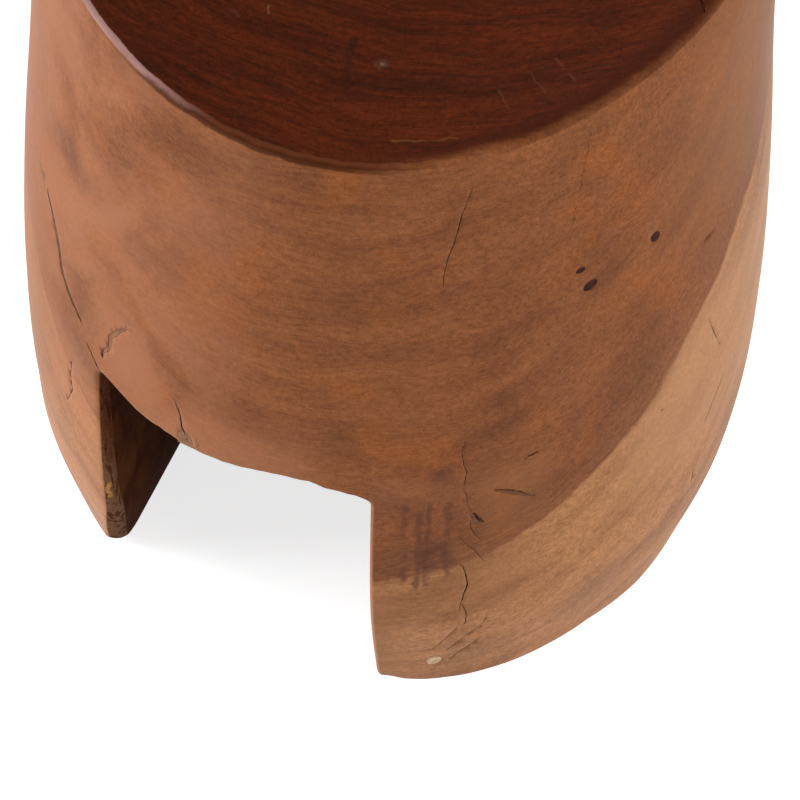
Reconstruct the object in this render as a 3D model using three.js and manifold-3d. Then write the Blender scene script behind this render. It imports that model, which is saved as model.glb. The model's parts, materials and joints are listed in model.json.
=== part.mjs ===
// A wooden stool carved from one log: a dished seat over a drum that a channel splits into two slab feet.
// Old plugs and fillings sit in holes and checks of the log, each one a piece of its own.
// Millimetres, +Z up. The stool stands on z = 0, the channel runs along Y and the front faces -Y.
import * as THREE from "three";
import { ConvexGeometry } from "three/addons/geometries/ConvexGeometry.js";
import { mergeVertices } from "three/addons/utils/BufferGeometryUtils.js";
import Module from "manifold-3d";

const wasm = await Module();
wasm.setup();

// Barrel outline of the log: its radius at six levels, evenly spaced from the floor to the rim
const RIM_HEIGHT = 440; // mean height of the rim, measured round the seat
const SOLE_RADIUS = 183.3;
const ANKLE_RADIUS = 203.4;
const BELLY_RADIUS = 205.1;
const WAIST_RADIUS = 199.5;
const SHOULDER_RADIUS = 190.4;
const RIM_RADIUS = 184;
const SOLE_EASE = 2; // worn edge where the wall meets the sole
const LEAN_RIGHT = 6; // how far the rim stands off the middle of the sole
const LEAN_BACK = 7;

// Seat
const SEAT_DEPTH = 30; // middle of the dish below the mean rim
const LIP_RADIUS = 5;
const SADDLE_RISE = 20; // the sides stand this far above the mean rim, front and back this far below
const LEFT_RISE = 6; // half of what the left of the rim stands above the right
const BACK_RISE = 13; // half of what the back of the rim stands above the front

// Channel through the lower half of the log
const CHANNEL_WIDTH = 150;
const CHANNEL_MIDDLE = -39.5; // x of its middle, left of the middle of the sole
const CHANNEL_HEIGHT = 193;
const CHANNEL_CORNER = 8; // radius where the walls meet the ceiling
const CHANNEL_LEFT = CHANNEL_MIDDLE - CHANNEL_WIDTH / 2;
const CHANNEL_RIGHT = CHANNEL_MIDDLE + CHANNEL_WIDTH / 2;

// Pared front of the left foot: a flat hewn off the channel wall near the floor,
// and a chamfer down its front edge
const FLAT_START = -15; // y where the flat begins at the floor
const FLAT_TURN = 7.75; // degrees that it turns away from the channel
const FLAT_LEAN = 14; // degrees that it leans out from the wall
const FLAT_HEIGHT = 120;
const FLAT_WIDTH = 60;
const CHAMFER_FOOT = 14; // how far from the corner the chamfer starts, at the floor
const CHAMFER_TOP = 7;

// Fit of the plugs and fillings in their pockets
const FIT = 0.3;
const CUTTER_REACH = 20; // how far a cutter stands out past the surface that it cuts
const PLUG_DEPTH = 12;
const PATCH_DEPTH = 8;
const FILLING_DEPTH = 9;
const FILLING_WIDTH = 2.6; // at the middle of its length

// A piece let into the wall is set out by azimuth in degrees, from the front towards the right, and height,
// or by its distance to the right of a channel wall's x and its height over a base.
const PLUG_FINISH = { color: 0x2a1710, roughness: 0.6, metalness: 0 };
const OVAL_PIECES = [
  {
    name: "plug_round",
    place: { azimuth: 52.8, height: 324 },
    size: { width: 6, tall: 6, depth: PLUG_DEPTH },
    tilt: 0,
    finish: PLUG_FINISH,
  },
  {
    name: "plug_oval",
    place: { azimuth: 41.1, height: 314 },
    size: { width: 8, tall: 5.5, depth: PLUG_DEPTH },
    tilt: 25,
    finish: PLUG_FINISH,
  },
  {
    name: "plug_small",
    place: { azimuth: 39.4, height: 326 },
    size: { width: 5, tall: 3.2, depth: PLUG_DEPTH },
    tilt: 15,
    finish: PLUG_FINISH,
  },
  {
    name: "patch_arch_edge",
    place: { wall: CHANNEL_LEFT, along: 50, base: CHANNEL_HEIGHT, above: 3 },
    size: { width: 10, tall: 14, depth: PATCH_DEPTH },
    tilt: 0,
    finish: { color: 0x6f6a55, roughness: 0.8, metalness: 0 },
  },
  {
    name: "patch_right_foot",
    place: { wall: CHANNEL_RIGHT, along: 32, base: 0, above: 29 },
    size: { width: 8, tall: 11, depth: PATCH_DEPTH },
    tilt: -20,
    finish: { color: 0xc9a27c, roughness: 0.7, metalness: 0 },
  },
];

// Fillings run along a check: turning points as [across, up] from the place where they are set out
const FILLINGS = [
  {
    name: "fill_corner_check",
    place: { wall: CHANNEL_LEFT, along: 5.3, base: CHANNEL_HEIGHT, above: 40 },
    course: [[-6.5, -19.4], [-5.7, -11.2], [-0.8, -4.4], [-0.2, 3.4], [5.1, 11.1], [12.4, 19.3]],
    size: { width: FILLING_WIDTH, depth: FILLING_DEPTH },
    finish: { color: 0x77726c, roughness: 0.85, metalness: 0 },
  },
  {
    name: "fill_left_check",
    place: { azimuth: -49.5, height: 263 },
    course: [[-28.7, 34.6], [-9.5, 16.9], [2.8, -0.4], [8.6, -16.7], [17.9, -26.6], [30.1, -35.6]],
    size: { width: FILLING_WIDTH, depth: FILLING_DEPTH },
    finish: { color: 0x6a6f75, roughness: 0.8, metalness: 0 },
  },
  {
    name: "fill_right_check",
    place: { wall: CHANNEL_RIGHT, along: 52.6, base: 0, above: 168 },
    course: [[-1.9, 4.6], [-0.4, 0.5], [1.9, -4.6]],
    size: { width: FILLING_WIDTH, depth: FILLING_DEPTH },
    finish: { color: 0x3d4236, roughness: 0.8, metalness: 0 },
  },
  {
    name: "fill_right_slit",
    place: { wall: CHANNEL_RIGHT, along: 70, base: 0, above: 183 },
    course: [[-9.9, 5.1], [-0.5, 0.5], [9.7, -5.7]],
    size: { width: FILLING_WIDTH, depth: FILLING_DEPTH },
    finish: { color: 0x3a3834, roughness: 0.8, metalness: 0 },
  },
];
const NARROW_END = 0.3; // width of a filling at its ends, as a share of its full width

// Fineness of the round surfaces
const LOG_SIDES = 72;
const WALL_STEPS = 16;
const LIP_STEPS = 5;
const DISH_STEPS = 9;
const PLUG_SIDES = 24;
const COURSE_STEPS = 14;
const CORNER_STEPS = 6;
const CHAMFER_STEPS = 16;
const SETTLING_STEPS = 5; // rounds in which the corner of the left foot settles on both of its faces

const LOG_FINISH = { color: 0x8c5536, roughness: 0.45, metalness: 0 };

// Closed solid from a geometry, and back again
function solidOf(geometry) {
  const bare = geometry.clone();
  Object.keys(bare.attributes)
    .filter((attribute) => attribute !== "position")
    .forEach((attribute) => bare.deleteAttribute(attribute));
  const merged = mergeVertices(bare);
  return new wasm.Manifold(
    new wasm.Mesh({
      numProp: 3,
      vertProperties: merged.attributes.position.array,
      triVerts: new Uint32Array(merged.index.array),
    }),
  );
}

function meshOf(name, solid, finish) {
  const { vertProperties, triVerts } = solid.getMesh();
  const geometry = new THREE.BufferGeometry();
  geometry.setAttribute("position", new THREE.BufferAttribute(vertProperties, 3));
  geometry.setIndex(new THREE.BufferAttribute(triVerts, 1));
  geometry.computeVertexNormals();
  const mesh = new THREE.Mesh(geometry, new THREE.MeshStandardMaterial(finish));
  mesh.name = name;
  return mesh;
}

// Radius of the barrel at a height
const STATIONS = [
  SOLE_RADIUS,
  ANKLE_RADIUS,
  BELLY_RADIUS,
  WAIST_RADIUS,
  SHOULDER_RADIUS,
  RIM_RADIUS,
];
const barrelCurve = new THREE.CubicInterpolant(
  STATIONS.map((_, i) => (RIM_HEIGHT * i) / (STATIONS.length - 1)),
  STATIONS,
  1,
  [],
);

function wallRadius(height) {
  return barrelCurve.evaluate(height)[0];
}

// Rise of the seat over its mean height, full at the rim and fading to nothing in the middle
function seatRise(azimuth, share) {
  const saddle = -SADDLE_RISE * share ** 2 * Math.cos(2 * azimuth);
  const tilt = -share * (LEFT_RISE * Math.sin(azimuth) + BACK_RISE * Math.cos(azimuth));
  return saddle + tilt;
}

function leaned(x, y, z) {
  return new THREE.Vector3(
    x + (LEAN_RIGHT * z) / RIM_HEIGHT,
    y + (LEAN_BACK * z) / RIM_HEIGHT,
    z,
  );
}

// Half section of the log: sole, wall, lip and dish, from the axis round to the axis
function logProfile() {
  const lipHeight = RIM_HEIGHT - LIP_RADIUS;
  const lipMiddle = wallRadius(lipHeight) - LIP_RADIUS;
  const points = [new THREE.Vector2(0, 0), new THREE.Vector2(wallRadius(0) - SOLE_EASE, 0)];
  for (let i = 0; i < WALL_STEPS; i += 1) {
    const height = SOLE_EASE + ((lipHeight - SOLE_EASE) * i) / WALL_STEPS;
    points.push(new THREE.Vector2(wallRadius(height), height));
  }
  for (let i = 0; i <= LIP_STEPS; i += 1) {
    const turn = (Math.PI / 2) * (i / LIP_STEPS);
    points.push(
      new THREE.Vector2(
        lipMiddle + LIP_RADIUS * Math.cos(turn),
        lipHeight + LIP_RADIUS * Math.sin(turn),
      ),
    );
  }
  for (let i = 1; i < DISH_STEPS; i += 1) {
    const share = 1 - i / DISH_STEPS;
    points.push(new THREE.Vector2(lipMiddle * share, RIM_HEIGHT - SEAT_DEPTH * (1 - share ** 2)));
  }
  points.push(new THREE.Vector2(0, RIM_HEIGHT - SEAT_DEPTH));
  return points;
}

// The round log is then shaped: its upper part follows the saddle of the seat, and the whole leans a little
function shapeLog(geometry) {
  const places = geometry.attributes.position;
  for (let i = 0; i < places.count; i += 1) {
    const place = new THREE.Vector3().fromBufferAttribute(places, i);
    const azimuth = Math.atan2(place.x, -place.y);
    const reach = Math.hypot(place.x, place.y);
    const share = reach / wallRadius(place.z);
    const follow = THREE.MathUtils.smoothstep(place.z, CHANNEL_HEIGHT, RIM_HEIGHT - SEAT_DEPTH);
    const height = place.z + follow * seatRise(azimuth, share);
    const radius = share * wallRadius(height);
    const shaped = leaned(radius * Math.sin(azimuth), -radius * Math.cos(azimuth), height);
    places.setXYZ(i, shaped.x, shaped.y, shaped.z);
  }
}

function makeLog() {
  const geometry = new THREE.LatheGeometry(logProfile(), LOG_SIDES);
  geometry.rotateX(Math.PI / 2);
  shapeLog(geometry);
  return solidOf(geometry);
}

// Straight channel with a flat ceiling, open at the sole and at both ends
function makeChannel() {
  const spring = CHANNEL_HEIGHT - CHANNEL_CORNER;
  const section = new THREE.Shape();
  section.moveTo(CHANNEL_LEFT, -CUTTER_REACH);
  section.lineTo(CHANNEL_RIGHT, -CUTTER_REACH);
  section.lineTo(CHANNEL_RIGHT, spring);
  section.absarc(CHANNEL_RIGHT - CHANNEL_CORNER, spring, CHANNEL_CORNER, 0, Math.PI / 2);
  section.absarc(CHANNEL_LEFT + CHANNEL_CORNER, spring, CHANNEL_CORNER, Math.PI / 2, Math.PI);
  section.lineTo(CHANNEL_LEFT, -CUTTER_REACH);
  const length = 2 * (Math.max(...STATIONS) + LEAN_BACK + CUTTER_REACH);
  const geometry = new THREE.ExtrudeGeometry(section, {
    depth: length,
    bevelEnabled: false,
    curveSegments: CORNER_STEPS,
  });
  geometry.rotateX(Math.PI / 2);
  geometry.translate(0, length / 2, 0);
  return solidOf(geometry);
}

// Flat hewn off the left wall of the channel at its front, deepest at the floor
function makeFlat() {
  const length = Math.max(...STATIONS) + CUTTER_REACH;
  const geometry = new THREE.BoxGeometry(FLAT_WIDTH, length, FLAT_HEIGHT);
  geometry.translate(FLAT_WIDTH / 2, -length / 2, FLAT_HEIGHT / 2 - CUTTER_REACH);
  geometry.rotateY(THREE.MathUtils.degToRad(FLAT_LEAN));
  geometry.rotateZ(-THREE.MathUtils.degToRad(FLAT_TURN));
  geometry.translate(CHANNEL_LEFT, FLAT_START, 0);
  return solidOf(geometry);
}

// Where the channel's left wall, or the flat hewn off it, stands at a place along the channel
function leftWall(y, height) {
  const turn = Math.tan(THREE.MathUtils.degToRad(FLAT_TURN)) * (y - FLAT_START);
  const lean = Math.tan(THREE.MathUtils.degToRad(FLAT_LEAN)) * height;
  return CHANNEL_LEFT + Math.min(0, turn + lean);
}

// Triangle that the chamfer takes off the front corner of the left foot at a height
function chamferSection(height, size) {
  const radius = wallRadius(Math.max(height, 0));
  const centre = leaned(0, 0, height);
  const corner = new THREE.Vector3(CHANNEL_LEFT, 0, height);
  for (let i = 0; i < SETTLING_STEPS; i += 1) {
    corner.y = centre.y - Math.sqrt(radius ** 2 - (corner.x - centre.x) ** 2);
    corner.x = leftWall(corner.y, height);
  }
  const azimuth = Math.atan2(corner.x - centre.x, centre.y - corner.y) - size / radius;
  const onWall = new THREE.Vector3(
    centre.x + radius * Math.sin(azimuth),
    centre.y - radius * Math.cos(azimuth),
    height,
  );
  const inside = new THREE.Vector3(leftWall(corner.y + size, height), corner.y + size, height);
  const inward = onWall.clone().sub(corner).normalize();
  inward.add(inside.clone().sub(corner).normalize()).normalize();
  return [onWall, inside, corner.clone().addScaledVector(inward, -CUTTER_REACH)];
}

function makeChamfer() {
  const sections = [chamferSection(-CUTTER_REACH, CHAMFER_FOOT)];
  for (let i = 0; i <= CHAMFER_STEPS; i += 1) {
    const share = i / CHAMFER_STEPS;
    const size = THREE.MathUtils.lerp(CHAMFER_FOOT, CHAMFER_TOP, share);
    sections.push(chamferSection(CHANNEL_HEIGHT * share, size));
  }
  return sections
    .slice(1)
    .map((section, i) => solidOf(new ConvexGeometry([...sections[i], ...section])))
    .reduce((joined, slab) => joined.add(slab));
}

// Frame on the wall: x to the right along it, y up it, z straight out of it
function wallFrame({ azimuth, height, wall, along, base, above }) {
  const level = height ?? base + above;
  const lean = (LEAN_RIGHT * level) / RIM_HEIGHT;
  const turn =
    azimuth === undefined
      ? Math.asin((wall + along - lean) / wallRadius(level))
      : THREE.MathUtils.degToRad(azimuth);
  const onWall = (z) => leaned(wallRadius(z) * Math.sin(turn), -wallRadius(z) * Math.cos(turn), z);
  const across = new THREE.Vector3(Math.cos(turn), Math.sin(turn), 0);
  const up = onWall(level + 1).sub(onWall(level - 1));
  const out = new THREE.Vector3().crossVectors(across, up).normalize();
  up.crossVectors(out, across);
  return new THREE.Matrix4().makeBasis(across, up, out).setPosition(onWall(level));
}

// Oval pin of a plug or a patch, grown by a clearance when it cuts the pocket
function ovalPin({ place, size, tilt }, grow) {
  const length = size.depth + grow + CUTTER_REACH;
  const geometry = new THREE.CylinderGeometry(0.5, 0.5, length, PLUG_SIDES);
  geometry.rotateX(Math.PI / 2);
  geometry.scale(size.width + 2 * grow, size.tall + 2 * grow, 1);
  geometry.rotateZ(THREE.MathUtils.degToRad(tilt));
  geometry.translate(0, 0, CUTTER_REACH - length / 2);
  geometry.applyMatrix4(wallFrame(place));
  return solidOf(geometry);
}

// Ribbon of filling along a check, drawn in to a narrow end at both sides
function checkRibbon({ place, course, size }, grow) {
  const line = new THREE.SplineCurve(course.map(([across, up]) => new THREE.Vector2(across, up)));
  const near = [];
  const far = [];
  for (let i = 0; i <= COURSE_STEPS; i += 1) {
    const share = i / COURSE_STEPS;
    const tangent = line.getTangent(share);
    const side = new THREE.Vector2(-tangent.y, tangent.x);
    const swell = NARROW_END + (1 - NARROW_END) * Math.sin(Math.PI * share);
    const half = (size.width / 2) * swell + grow;
    const middle = line.getPoint(share);
    if (i === 0) middle.addScaledVector(tangent, -grow);
    if (i === COURSE_STEPS) middle.addScaledVector(tangent, grow);
    near.push(middle.clone().addScaledVector(side, -half));
    far.unshift(middle.clone().addScaledVector(side, half));
  }
  const geometry = new THREE.ExtrudeGeometry(new THREE.Shape([...near, ...far]), {
    depth: size.depth + grow + CUTTER_REACH,
    bevelEnabled: false,
  });
  geometry.translate(0, 0, -size.depth - grow);
  geometry.applyMatrix4(wallFrame(place));
  return solidOf(geometry);
}

// Each piece let into the log fills its cutter up to the log's own surface
const log = [makeChannel(), makeFlat(), makeChamfer()].reduce(
  (solid, cutter) => solid.subtract(cutter),
  makeLog(),
);
const insets = [
  ...OVAL_PIECES.map((piece) => ({ piece, cutter: ovalPin })),
  ...FILLINGS.map((piece) => ({ piece, cutter: checkRibbon })),
];
const body = insets.reduce((solid, { piece, cutter }) => solid.subtract(cutter(piece, FIT)), log);

const stool = new THREE.Group();
stool.add(meshOf("stool_body", body, LOG_FINISH));
for (const { piece, cutter } of insets) {
  stool.add(meshOf(piece.name, cutter(piece, 0).intersect(log), piece.finish));
}

// The part's origin is under the middle of its bounding box
const middle = new THREE.Box3().setFromObject(stool).getCenter(new THREE.Vector3());
stool.position.set(-middle.x, -middle.y, 0);

export default stool;
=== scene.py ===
"""Dresses a stool carved from one log: worn edges, open checks, old fillings, wood grain, a plain studio."""
import json
import math
import random

import bmesh
import bpy
from bpy.props import FloatProperty, FloatVectorProperty, PointerProperty
from mathutils import Matrix, Vector, noise

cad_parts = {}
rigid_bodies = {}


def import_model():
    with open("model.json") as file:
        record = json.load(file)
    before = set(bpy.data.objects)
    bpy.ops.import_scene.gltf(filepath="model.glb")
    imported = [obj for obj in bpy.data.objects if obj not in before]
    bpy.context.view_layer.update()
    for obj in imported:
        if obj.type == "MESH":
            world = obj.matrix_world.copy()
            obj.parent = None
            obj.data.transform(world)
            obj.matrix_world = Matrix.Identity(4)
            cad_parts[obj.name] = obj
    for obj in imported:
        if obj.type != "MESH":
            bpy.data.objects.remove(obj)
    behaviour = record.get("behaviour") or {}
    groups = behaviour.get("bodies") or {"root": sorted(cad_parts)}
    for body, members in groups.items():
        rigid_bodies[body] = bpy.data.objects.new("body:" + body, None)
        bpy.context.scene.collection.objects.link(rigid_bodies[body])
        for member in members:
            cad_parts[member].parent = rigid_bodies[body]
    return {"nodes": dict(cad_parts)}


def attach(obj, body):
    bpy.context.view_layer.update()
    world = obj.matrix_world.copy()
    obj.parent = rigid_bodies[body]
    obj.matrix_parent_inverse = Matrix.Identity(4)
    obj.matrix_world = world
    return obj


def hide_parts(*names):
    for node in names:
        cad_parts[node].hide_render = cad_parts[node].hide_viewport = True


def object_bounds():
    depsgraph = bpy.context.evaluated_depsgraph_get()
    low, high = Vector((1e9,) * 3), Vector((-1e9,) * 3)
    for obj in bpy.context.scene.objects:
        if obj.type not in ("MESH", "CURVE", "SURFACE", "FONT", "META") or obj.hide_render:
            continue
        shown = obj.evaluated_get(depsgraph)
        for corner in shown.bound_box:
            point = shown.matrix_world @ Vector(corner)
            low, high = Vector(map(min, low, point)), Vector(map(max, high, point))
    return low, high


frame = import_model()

CAD_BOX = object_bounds()

bl_info = {
    "name": "Carved stool",
    "version": (1, 0, 0),
    "blender": (4, 5, 0),
    "location": "3D View > Sidebar > Stool",
    "description": "Builds the looks of a stool carved from one log around its CAD pieces",
    "category": "Object",
}

MM = 0.001


# Sizes and colours that a user would change

def number(name, value, note, **options):
    return FloatProperty(name=name, description=note, default=value, **options)


def length(name, millimetres, note):
    return number(name, millimetres * MM, note, unit="LENGTH", precision=4)


def angle(name, degrees, note):
    return number(name, math.radians(degrees), note, unit="ROTATION")


def colour(name, rgb, note):
    return FloatVectorProperty(name=name, description=note, default=rgb, subtype="COLOR", min=0, max=1)


class StoolLogSizes(bpy.types.PropertyGroup):
    rim_height: length("Rim height", 440, "Mean height of the rim over the floor")
    sole_radius: length("Sole radius", 183.3, "Radius of the log at the floor")
    ankle_radius: length("Ankle radius", 203.4, "Radius at one fifth of the rim height")
    belly_radius: length("Belly radius", 205.1, "Radius at two fifths of the rim height")
    waist_radius: length("Waist radius", 199.5, "Radius at three fifths of the rim height")
    shoulder_radius: length("Shoulder radius", 190.4, "Radius at four fifths of the rim height")
    rim_radius: length("Rim radius", 184, "Radius of the log at the rim")
    sole_ease: length("Sole ease", 1, "Worn edge where the wall meets the sole")
    lean_right: length("Lean to the right", 6, "How far the rim stands to the right of the sole")
    lean_back: length("Lean to the back", 7, "How far the rim stands behind the sole")
    middle_x: length("Middle, x", -1.89, "Place of the middle of the sole along x")
    middle_y: length("Middle, y", -3.07, "Place of the middle of the sole along y")


class StoolSeatSizes(bpy.types.PropertyGroup):
    depth: length("Dish depth", 30, "Middle of the dish below the mean rim")
    saddle_rise: length("Saddle rise", 20, "How far the sides rise over the mean rim")
    left_rise: length("Left rise", 6, "Half of what the left of the rim stands over the right")
    back_rise: length("Back rise", 13, "Half of what the back of the rim stands over the front")
    lip_round: length("Lip rounding", 2, "Rounding of the rim where it meets the wall")
    lip_flat: length("Lip flat", 3.8, "Width of the rim before the dish starts")


class StoolChannelSizes(bpy.types.PropertyGroup):
    left: length("Left wall", -114.5, "Left wall of the channel, from the middle of the sole")
    right: length("Right wall", 35.5, "Right wall of the channel, from the middle of the sole")
    height: length("Ceiling height", 193, "Ceiling of the channel over the floor")
    edge_wear: length("Edge wear", 3, "Width of the worn edge round the channel")
    flat_start: length("Flat, start", -15, "Where the flat on the left wall starts, along y")
    flat_turn: angle("Flat, turn", 7.75, "How far the flat turns away from the channel")
    flat_lean: angle("Flat, lean", 14, "How far the flat leans out from the wall")
    chamfer_foot: length("Chamfer, foot", 14, "Width of the left foot's chamfer at the floor")
    chamfer_top: length("Chamfer, top", 7, "The same at the ceiling of the channel")


class StoolWoodColours(bpy.types.PropertyGroup):
    heart_light: colour("Heartwood, light", (0.378, 0.133, 0.049), "Pale bands of the heartwood")
    heart_dark: colour("Heartwood, dark", (0.218, 0.077, 0.035), "Dark bands of the heartwood")
    heart_glow: colour("Heartwood, orange", (0.40, 0.125, 0.034), "Orange patches of the heartwood")
    heart_edge: colour("Heartwood, edge", (0.19, 0.076, 0.04), "Heartwood next to the sapwood")
    sap_light: colour("Sapwood, light", (0.57, 0.262, 0.115), "Pale bands of the sapwood")
    sap_dark: colour("Sapwood, dark", (0.375, 0.16, 0.066), "Dark bands of the sapwood")
    sap_pale: colour("Sapwood, palest", (0.68, 0.35, 0.18), "Bleached sapwood on the far right")
    cloud: colour("Clouds", (0.185, 0.072, 0.044), "Grey violet clouds and stains in the wood")
    # The worn colour also serves as painted light: the first wall layer lays it down the whole left side as a
    # painted sheen from the left lamp.
    worn: colour("Worn wood", (0.53, 0.225, 0.118), "Wood rubbed pale on the left wall and on the edges")
    seat_light: colour("Seat, light", (0.116, 0.019, 0.004), "Reddish bands of the polished seat")
    seat_dark: colour("Seat, dark", (0.05, 0.0098, 0.0026), "Dark bands of the polished seat")
    # The lip colour is partly worn wood and partly a painted highlight where the left of the rim catches the
    # light.
    lip: colour("Lip", (0.52, 0.29, 0.26), "Pale worn edge of the seat on the left")
    lip_front: colour("Lip, front", (0.125, 0.033, 0.012), "Reddish edge of the seat at the front")
    # Painted shade: the dark colour inside the channel stands in for the shade deep in it, and also tints the
    # inside of the cracks.
    shaded_wood: colour("Channel", (0.13, 0.042, 0.012), "Dark wood inside the channel")
    pared: colour("Pared edge", (0.125, 0.042, 0.019), "Chamfer down the front of the left foot")
    pared_foot: colour("Pared edge, foot", (0.22, 0.105, 0.058), "The same chamfer near the floor")
    ochre: colour("Ochre fleck", (0.52, 0.24, 0.07), "Bare fleck of wood on the chamfer")
    stain: colour("Stain", (0.125, 0.046, 0.033), "Drips and blots on the right foot")
    greyed: colour("Greyed wood", (0.13, 0.085, 0.062), "Dull grey of old scratches and of dust in the grain")
    # Painted shade: the near black inside of the cracks, also drawn as thin crack lines among the marks.
    check: colour("Open checks", (0.012, 0.006, 0.004), "Inside of the open checks")


class StoolStudio(bpy.types.PropertyGroup):
    lens: number("Lens", 135, "Focal length of the camera", subtype="DISTANCE_CAMERA")
    key_power: number("Key light", 54, "Power of the large lamp on the left", unit="POWER")
    fill_power: number("Fill light", 37, "Power of the lamp on the right", unit="POWER")
    room: number("Room light", 0.25, "Strength of the even light from all round")
    floor: colour("Floor", (0.86, 0.86, 0.86), "Colour of the floor")
    floor_glow: number("Floor glow", 0.75, "How much whiter the camera sees the floor")


# Shape of the log

def wall_radius(log, height):
    """Radius of the barrel at a height, on a smooth curve through six even levels."""
    names = ("sole", "ankle", "belly", "waist", "shoulder", "rim")
    levels = [getattr(log, name + "_radius") for name in names]
    levels = [2 * levels[0] - levels[1], *levels, 2 * levels[-1] - levels[-2]]
    place = min(max(height / log.rim_height, 0), 1) * 5
    step = min(int(place), 4)
    t = place - step
    a, b, c, d = levels[step:step + 4]
    bend = a - 2.5 * b + 2 * c - d / 2
    return b + t * (c - a) / 2 + t * t * bend + t ** 3 * (1.5 * (b - c) + (d - a) / 2)


def wall_point(log, azimuth, height):
    """Point of the outer wall at an azimuth from the front towards the right."""
    radius = wall_radius(log, height)
    share = height / log.rim_height
    return Vector((
        log.middle_x + radius * math.sin(azimuth) + log.lean_right * share,
        log.middle_y - radius * math.cos(azimuth) + log.lean_back * share,
        height,
    ))


def on_wall(log):
    """Gives the wall's points by azimuth in degrees and height in millimetres."""
    return lambda azimuth, height: wall_point(log, math.radians(azimuth), height * MM)


def on_level(height):
    """Gives points of a level plane by x and y in millimetres."""
    return lambda x, y: Vector((x * MM, y * MM, height))


def log_middle(log, height):
    share = height / log.rim_height
    return Vector((log.middle_x + log.lean_right * share, log.middle_y + log.lean_back * share, height))


def outwards(azimuth, radius):
    return Vector((radius * math.sin(azimuth), -radius * math.cos(azimuth), 0))


def from_middle(log, place):
    """Step from the log's middle line to a place, and its azimuth."""
    offset = place - log_middle(log, place.z)
    return offset, math.atan2(offset.x, -offset.y)


def rim_step(seat, azimuth, share=1):
    """How far the saddle and the tilt move a point at this share of the radius up."""
    tilt = seat.left_rise * math.sin(azimuth) + seat.back_rise * math.cos(azimuth)
    return -seat.saddle_rise * share ** 2 * math.cos(2 * azimuth) - share * tilt


def ease(value, low, high):
    """Smooth step from 0 at low to 1 at high, or falling where high is under low."""
    t = min(max((value - low) / (high - low), 0), 1)
    return t * t * (3 - 2 * t)


# Modelling steps

def new_piece(name):
    piece = bpy.context.object
    piece.name = name
    piece.data.name = name
    return piece


def select_none():
    bpy.ops.object.select_all(action="DESELECT")


def mode(name):
    bpy.ops.object.mode_set(mode=name)


def only(piece):
    """Selects this piece alone and makes it active."""
    select_none()
    piece.select_set(True)
    bpy.context.view_layer.objects.active = piece


def edit(piece):
    only(piece)
    mode("EDIT")


def pick(kind, test):
    """In edit mode, selects the vertices, edges or faces that pass the test, and nothing else."""
    bpy.ops.mesh.select_all(action="DESELECT")
    bpy.ops.mesh.select_mode(type=kind)
    mesh = bmesh.from_edit_mesh(bpy.context.object.data)
    for part in {"VERT": mesh.verts, "EDGE": mesh.edges, "FACE": mesh.faces}[kind]:
        if test(part):
            part.select_set(True)
    mesh.select_flush_mode()
    bmesh.update_edit_mesh(bpy.context.object.data)


def weld(near):
    """In edit mode, selects the whole mesh and makes one of the vertices that are nearer than this."""
    bpy.ops.mesh.select_all(action="SELECT")
    bpy.ops.mesh.remove_doubles(threshold=near)


def middle_of(part):
    return sum((v.co for v in part.verts), Vector()) / len(part.verts)


def apply(piece, kind, **settings):
    """Adds a modifier with these settings and applies it."""
    only(piece)
    modifier = piece.modifiers.new(kind.title(), kind)
    for key, value in settings.items():
        setattr(modifier, key, value)
    bpy.ops.object.modifier_apply(modifier=modifier.name)


# Columns round the log, the two that go onto the channel's corners, and the rows across the channel's faces
SIDES = 72
LEFT_COLUMN = math.radians(40)
RIGHT_COLUMN = math.radians(10)
ROWS = 16
# Heights of the wall's rings in millimetres, and widths of the dish's rings as shares of its own
WALL_LEVELS = (2, 9, 24, 44, 64, 84, 104, 124, 144, 162, 176, 185, 193, 201, 212, 228, 246, 264, 282, 300,
               318, 336, 354, 372, 390, 406, 420, 430)
DISH_SHARES = (1, 0.985, 0.96, 0.92, 0.87, 0.81, 0.74, 0.66, 0.58, 0.5, 0.42, 0.34, 0.27)
# Over the channel the columns go back to even spacing within this height
EVEN_AGAIN = 70 * MM


def raise_ring(log, radius, height, last):
    """Extrudes the selected ring to a radius and a height."""
    last_radius, last_height = last
    step = log_middle(log, height) - log_middle(log, last_height)
    bpy.ops.mesh.extrude_region_move(TRANSFORM_OT_translate={"value": step})
    growth = radius / last_radius
    bpy.ops.transform.resize(value=(growth, growth, 1), center_override=log_middle(log, height))
    return radius, height


def left_wall(log, channel, y, height):
    """Where the channel's left wall, or the flat hewn off its front, stands at a place along the channel."""
    turn = math.tan(channel.flat_turn) * (y - log.middle_y - channel.flat_start)
    lean = math.tan(channel.flat_lean) * height
    return channel.left + log.middle_x + min(0, turn + lean)


def channel_corner(log, channel, radius, height, is_left, side):
    """Corner where a wall of the channel meets the outer wall: side is -1 at the front and 1 at the back."""
    middle = log_middle(log, height)
    corner = Vector((channel.right + log.middle_x, 0, height))
    for _ in range(5):  # each of the two walls moves the corner along the other, less every round
        if is_left:
            corner.x = left_wall(log, channel, corner.y, height)
        corner.y = middle.y + side * math.sqrt(radius ** 2 - (corner.x - middle.x) ** 2)
    return corner


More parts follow.
